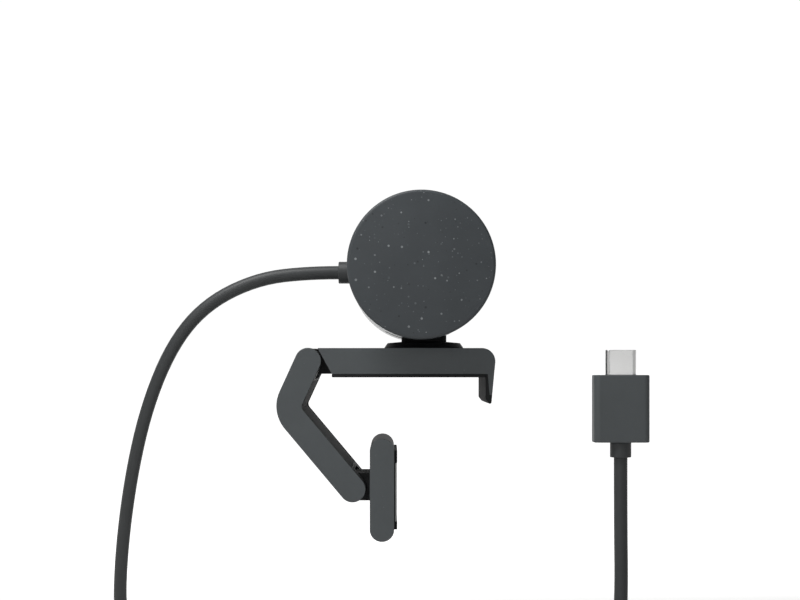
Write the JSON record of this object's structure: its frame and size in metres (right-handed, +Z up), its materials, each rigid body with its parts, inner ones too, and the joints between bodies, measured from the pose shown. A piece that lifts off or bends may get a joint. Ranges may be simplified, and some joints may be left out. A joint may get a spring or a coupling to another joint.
{
  "type": "webcam",
  "caption": "Barrel-shaped desk webcam on a folding monitor clip, with swivel, tilt, turning privacy shutter, autofocus lens and a captive lead with a flat reversible connector.",
  "frame": {"origin": "centre of the flat rubber underside of the clip's bar, where it rests on the top edge of a monitor", "axes": "+X is the way the lens looks, +Z is up, +Y is along the barrel towards its shutter dial"},
  "size_m": [0.1478, 0.1007, 0.1338],
  "materials": {
    "speckled_plastic": "matte, recycled plastic with pale specks",
    "graphite_plastic": "fine matte",
    "black_plastic": "matte",
    "gloss_black": "gloss",
    "black_rubber": "soft matte",
    "cord_jacket": "satin",
    "steel": "brushed",
    "plated_steel": "bright satin",
    "black_steel": "satin",
    "aluminium": "bead blasted",
    "window_glass": "polished, dark",
    "lens_glass": "coated",
    "filter_glass": "polished",
    "circuit_board": "solder mask",
    "chip_black": "matte",
    "sensor_silicon": "iridescent",
    "ribbon_film": "polyimide film",
    "light_guide": "frosted clear",
    "pale_film": "clear tacky film",
    "contact_gold": "plated"
  },
  "bodies": {
    "clip_bar": {"bar_shell": "graphite_plastic", "bar_core": "black_plastic", "bar_screws": "black_steel", "bar_pad": "black_rubber", "lip_pad": "black_rubber", "swivel_washer": "steel"},
    "swivel_mount": {"swivel_base": "black_plastic", "swivel_stud": "steel", "swivel_nut": "steel", "neck": "black_plastic", "neck_screws": "steel", "tilt_shoe": "steel", "tilt_pad": "black_rubber", "shoe_screws": "steel", "cable_lead": "cord_jacket", "cable_coil": "cord_jacket", "cable_tail": "cord_jacket", "cable_tie": "black_rubber", "plug_collar": "cord_jacket", "plug_housing": "graphite_plastic", "plug_shell": "plated_steel", "plug_insert": "black_plastic", "plug_contacts": "contact_gold"},
    "camera_head": {"barrel_shell": "graphite_plastic", "end_cap": "speckled_plastic", "dial_axle": "steel", "detent_spring": "steel", "front_window": "window_glass", "lens_bezel": "gloss_black", "focus_motor": "black_steel", "lens_bracket": "black_plastic", "image_sensor": "sensor_silicon", "infrared_filter": "filter_glass", "sensor_board": "circuit_board", "chassis": "black_plastic", "main_board": "circuit_board", "board_screws": "steel", "shield_can": "plated_steel", "video_processor": "chip_black", "heat_spreader": "aluminium", "sensor_ribbon": "ribbon_film", "lead_socket": "black_plastic", "inner_lead": "cord_jacket", "microphones": "plated_steel", "status_led": "light_guide", "light_pipe": "light_guide", "cable_gland": "black_rubber"},
    "shutter": {"shutter_dial": "speckled_plastic", "shutter_blade": "gloss_black"},
    "lens_carrier": {"lens_barrel": "black_plastic", "lens_glass": "lens_glass"},
    "arm": {"arm_shell": "graphite_plastic", "arm_liner": "black_rubber", "arm_pin": "steel", "foot_pin": "steel"},
    "foot": {"foot_shell": "graphite_plastic", "foot_knuckle": "black_plastic", "foot_pad": "black_rubber", "pad_film": "pale_film"}
  },
  "joints": [
    {"name": "head_swivel", "type": "hinge", "parent": "clip_bar", "child": "swivel_mount", "pos_m": [0.0043, 0, 0.0077], "axis": [0, 0, 1], "range_deg": [-30, 30]},
    {"name": "head_tilt", "type": "hinge", "parent": "swivel_mount", "child": "camera_head", "pos_m": [0.00315, 0, 0.0291], "axis": [0, 1, 0], "range_deg": [-12, 18], "deforming": ["cable_lead"]},
    {"name": "shutter_turn", "type": "hinge", "parent": "camera_head", "child": "shutter", "pos_m": [0.00315, 0, 0.0291], "axis": [0, 1, 0], "range_deg": [0, 66]},
    {"name": "focus_travel", "type": "slide", "parent": "camera_head", "child": "lens_carrier", "axis": [1, 0, 0], "range_m": [0, 0.0003], "stiffness_N_per_m": 60},
    {"name": "arm_fold", "type": "hinge", "parent": "clip_bar", "child": "arm", "pos_m": [-0.0264, 0, 0.0043], "axis": [0, 1, 0], "range_deg": [-20, 40]},
    {"name": "foot_tilt", "type": "hinge", "parent": "arm", "child": "foot", "pos_m": [-0.01473, 0, -0.02929], "axis": [0, 1, 0], "range_deg": [-20, 20]}
  ]
}
